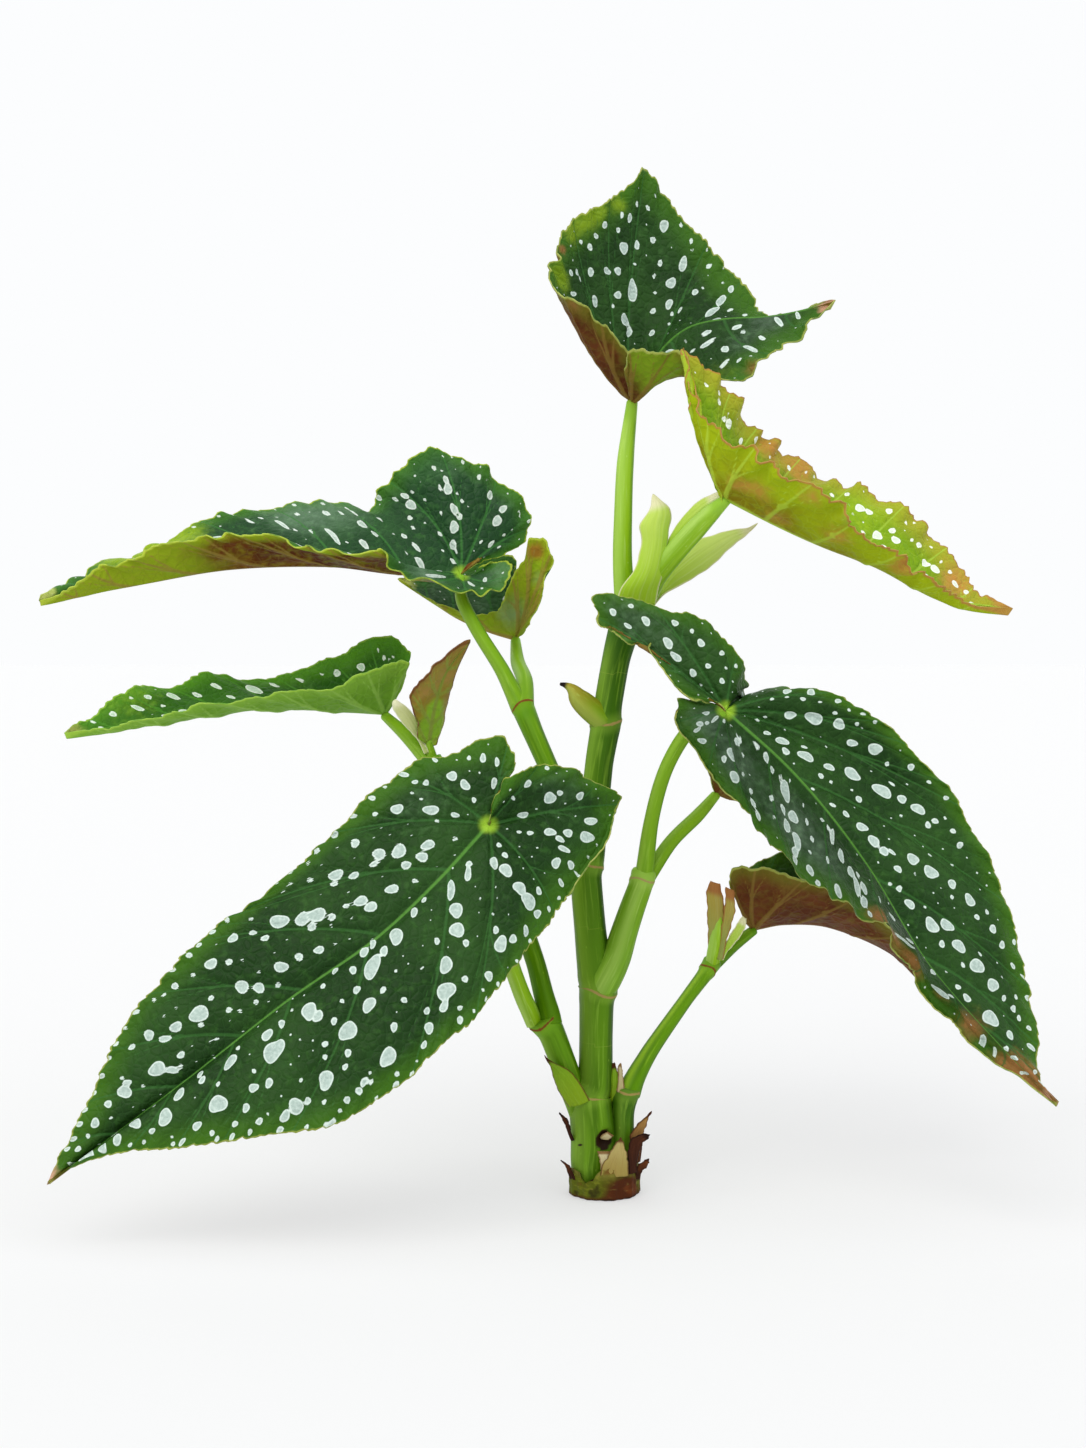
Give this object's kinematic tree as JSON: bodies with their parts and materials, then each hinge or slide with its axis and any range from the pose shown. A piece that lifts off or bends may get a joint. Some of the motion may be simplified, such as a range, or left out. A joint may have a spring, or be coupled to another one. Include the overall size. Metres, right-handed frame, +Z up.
{
  "type": "cut begonia plant",
  "caption": "Cane begonia with white-spotted angel-wing leaves on jointed green canes, cut off flat through the crown and standing on the cut.",
  "frame": {"origin": "centre of the flat cut face under the crown", "axes": "+Z up along the plant, +X to the right as seen from its broad side, -Y towards the viewer of that side"},
  "size_m": [0.3522, 0.184, 0.3598],
  "materials": {
    "leaf": "satin",
    "young_leaf": "satin",
    "cane": "satin",
    "petiole": "satin",
    "stipule": "satin",
    "dry_sheath": "matte",
    "crown_bark": "matte"
  },
  "bodies": {
    "root": {"crown": "crown_bark", "main_cane": "cane", "upper_left_cane": "cane", "lower_left_cane": "cane", "mid_left_cane": "cane", "right_cane": "cane", "lower_right_stub": "cane", "lower_right_cane": "cane", "front_petiole": "petiole", "front_leaf": "leaf", "upper_left_petiole": "petiole", "upper_left_leaf": "leaf", "mid_left_petiole": "petiole", "mid_left_leaf": "leaf", "right_petiole": "petiole", "right_leaf": "leaf", "top_petiole": "petiole", "top_leaf": "leaf", "upper_right_petiole": "petiole", "upper_right_leaf": "young_leaf", "lower_right_petiole": "petiole", "lower_right_leaf": "leaf", "folded_petiole": "petiole", "folded_leaf": "leaf", "young_petiole": "petiole", "young_leaf": "young_leaf", "back_petiole": "petiole", "back_leaf": "leaf", "top_stipule": "stipule", "back_stipule": "stipule", "young_stipule": "stipule", "lower_right_flap": "stipule", "left_bract": "stipule", "lower_right_bud": "stipule", "crown_flap": "dry_sheath", "crown_scale_1": "dry_sheath", "crown_scale_2": "dry_sheath", "crown_scale_3": "dry_sheath", "crown_scale_4": "dry_sheath", "crown_scale_5": "dry_sheath", "dried_bud": "dry_sheath"}
  },
  "joints": []
}
